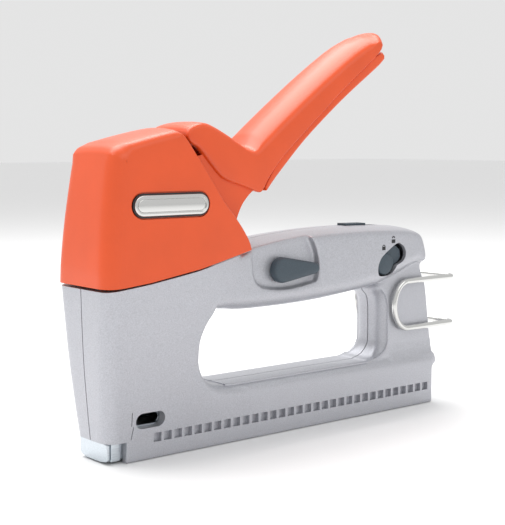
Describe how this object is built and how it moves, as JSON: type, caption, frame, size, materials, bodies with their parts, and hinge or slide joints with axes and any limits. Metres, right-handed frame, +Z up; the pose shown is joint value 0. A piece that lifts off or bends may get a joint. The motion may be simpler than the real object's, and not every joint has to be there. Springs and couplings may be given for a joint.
{
  "type": "hand staple gun",
  "caption": "Hand-squeeze staple gun with a die-cast body, a moulded head cover, a long squeeze lever, a power selector, a lever lock and a wire hook.",
  "frame": {"origin": "on the flat base that the tool stands on, at the middle of the overall length and on the mid plane", "axes": "+X from the nose to the rear, +Z up from the base, +Y to the side with the screws"},
  "size_m": [0.1862, 0.036, 0.1609],
  "materials": {
    "alloy": "satin silver-grey paint on die-cast alloy",
    "orange": "satin-gloss moulded orange",
    "dark": "fine-grained blue-grey moulding",
    "steel": "zinc-plated pressed steel",
    "nose_steel": "bright zinc-plated steel",
    "chrome": "bright chrome plating",
    "screw": "zinc-plated screws",
    "rubber": "moulded buffer rubber",
    "staples": "galvanised staple wire, glued in a strip"
  },
  "bodies": {
    "frame": {"body_shell_left": "alloy", "body_shell_right": "alloy", "head_cover": "orange", "badge_left": "chrome", "badge_right": "chrome", "lever_pivot_pin": "steel", "lever_spring": "steel", "main_spring": "steel", "spring_seat": "steel", "seat_pin_front": "steel", "seat_pin_rear": "steel", "recoil_bumper": "rubber", "nose_plate": "nose_steel", "magazine_channel": "nose_steel", "rocker_pin": "steel", "wire_bail": "chrome", "body_screw_1": "screw", "body_screw_2": "screw", "body_screw_3": "screw", "body_screw_4": "screw", "cover_screw_1": "screw", "cover_screw_2": "screw"},
    "lever": {"lever_cover": "orange", "lever_strip": "orange", "lever_web": "orange", "lever_core": "steel"},
    "striker": {"striker_carrier": "steel", "driver_blade": "steel", "blade_pin": "steel"},
    "selector": {"power_knob": "dark", "power_shaft": "steel"},
    "rocker": {"power_rocker": "steel"},
    "lock": {"lock_button": "dark", "lock_link": "dark", "lock_catch": "dark"},
    "rail": {"magazine_rail": "steel", "rail_end_cap": "steel", "rail_clip": "steel", "pusher_spring": "steel", "staple_strip": "staples"},
    "pusher": {"staple_pusher": "steel"}
  },
  "joints": [
    {"name": "lever_squeeze", "type": "hinge", "parent": "frame", "child": "lever", "pos_m": [-0.04546, 0, 0.099], "axis": [0, 1, 0], "range_deg": [0, 35], "stiffness_Nm_per_rad": 1.5, "springref_deg": -20.05},
    {"name": "striker_lift", "type": "slide", "parent": "frame", "child": "striker", "axis": [0, 0, 1], "range_m": [0, 0.0175], "deforming": ["main_spring"]},
    {"name": "selector_turn", "type": "hinge", "parent": "frame", "child": "selector", "pos_m": [-0.01096, 0, 0.065], "axis": [0, -1, 0], "range_deg": [0, 40]},
    {"name": "rocker_turn", "type": "hinge", "parent": "frame", "child": "rocker", "pos_m": [-0.05986, 0, 0.0623], "axis": [0, 1, 0], "range_deg": [0, 1.4]},
    {"name": "lock_slide", "type": "slide", "parent": "frame", "child": "lock", "axis": [0.8789, 0, 0.4771], "range_m": [0, 0.0075]},
    {"name": "rail_slide", "type": "slide", "parent": "frame", "child": "rail", "axis": [1, 0, 0], "range_m": [0, 0.07]},
    {"name": "pusher_slide", "type": "slide", "parent": "rail", "child": "pusher", "axis": [1, 0, 0], "range_m": [0, 0.07], "stiffness_N_per_m": 20, "springref_m": -0.08}
  ],
  "couplings": [
    {"joint": "striker_lift", "follows": "lever_squeeze", "m_per_rad": 0.0285},
    {"joint": "rocker_turn", "follows": "selector_turn", "ratio": 0.0335}
  ]
}
